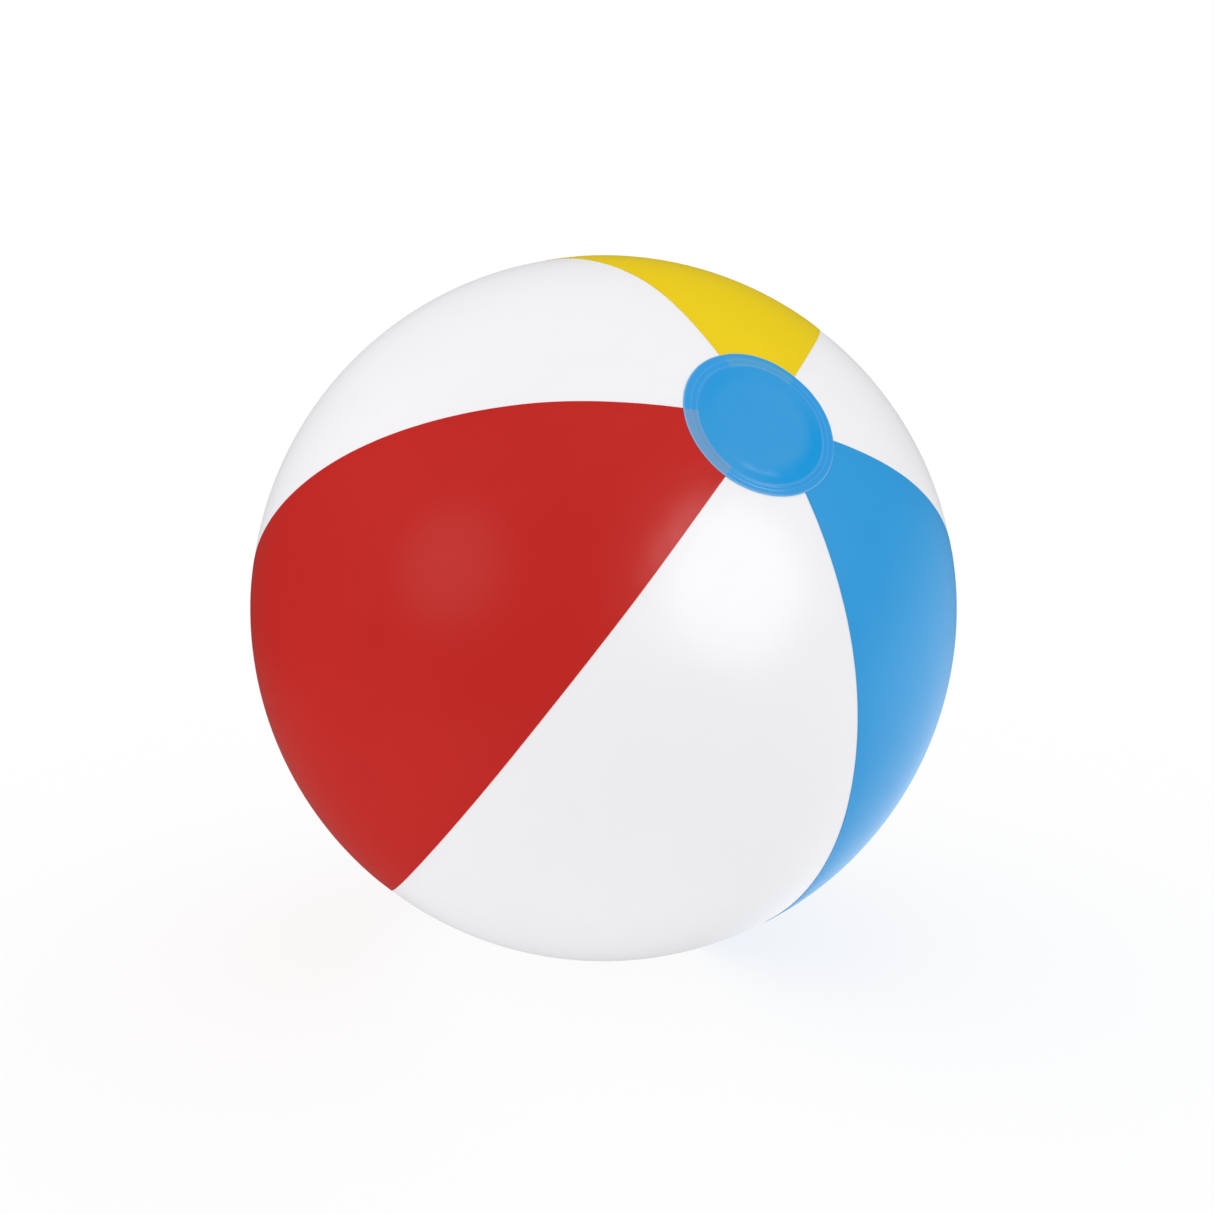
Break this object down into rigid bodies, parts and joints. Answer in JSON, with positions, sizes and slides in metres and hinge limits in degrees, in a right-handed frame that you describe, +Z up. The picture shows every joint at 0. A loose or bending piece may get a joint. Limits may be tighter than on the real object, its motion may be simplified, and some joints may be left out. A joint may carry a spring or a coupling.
{
  "type": "inflatable beach ball",
  "caption": "Blown-up vinyl beach ball of lapped coloured and white gores, closed by a round disc at each pole, with a push-in valve and stopper.",
  "frame": {"origin": "centre of the ball", "axes": "+Z up from the floor the ball lies on, front towards -Y; the pole with the first disc leans up, forward and to +X"},
  "size_m": [0.325, 0.3247, 0.3248],
  "materials": {
    "red_vinyl": "gloss",
    "white_vinyl": "gloss",
    "yellow_vinyl": "gloss",
    "blue_vinyl": "gloss",
    "disc_vinyl": "gloss",
    "valve_vinyl": "satin"
  },
  "bodies": {
    "ball": {"red_gore": "red_vinyl", "white_gore_left": "white_vinyl", "yellow_gore": "yellow_vinyl", "white_gore_right": "white_vinyl", "blue_gore": "blue_vinyl", "white_gore_bottom": "white_vinyl", "front_end_disc": "disc_vinyl", "back_end_disc": "disc_vinyl", "valve_flange": "valve_vinyl", "valve_sleeve": "valve_vinyl"},
    "stem": {"valve_stem": "valve_vinyl"},
    "stopper": {"valve_stopper": "valve_vinyl"},
    "check_flap": {"valve_check_flap": "valve_vinyl"}
  },
  "joints": [
    {"name": "stem_slide", "type": "slide", "parent": "ball", "child": "stem", "axis": [-0.8613, 0.4973, 0.1043], "range_m": [0, 0.018], "deforming": ["valve_sleeve"]},
    {"name": "stopper_hinge", "type": "hinge", "parent": "stem", "child": "stopper", "pos_m": [-0.13845, 0.08456, 0.01015], "axis": [-0.4768, -0.7203, -0.5038], "range_deg": [0, 120]},
    {"name": "check_flap_hinge", "type": "hinge", "parent": "stem", "child": "check_flap", "pos_m": [-0.12808, 0.07752, 0.0104], "axis": [0.4768, 0.7203, 0.5038], "range_deg": [0, 35], "stiffness_Nm_per_rad": 0.00005, "springref_deg": -11.46}
  ]
}
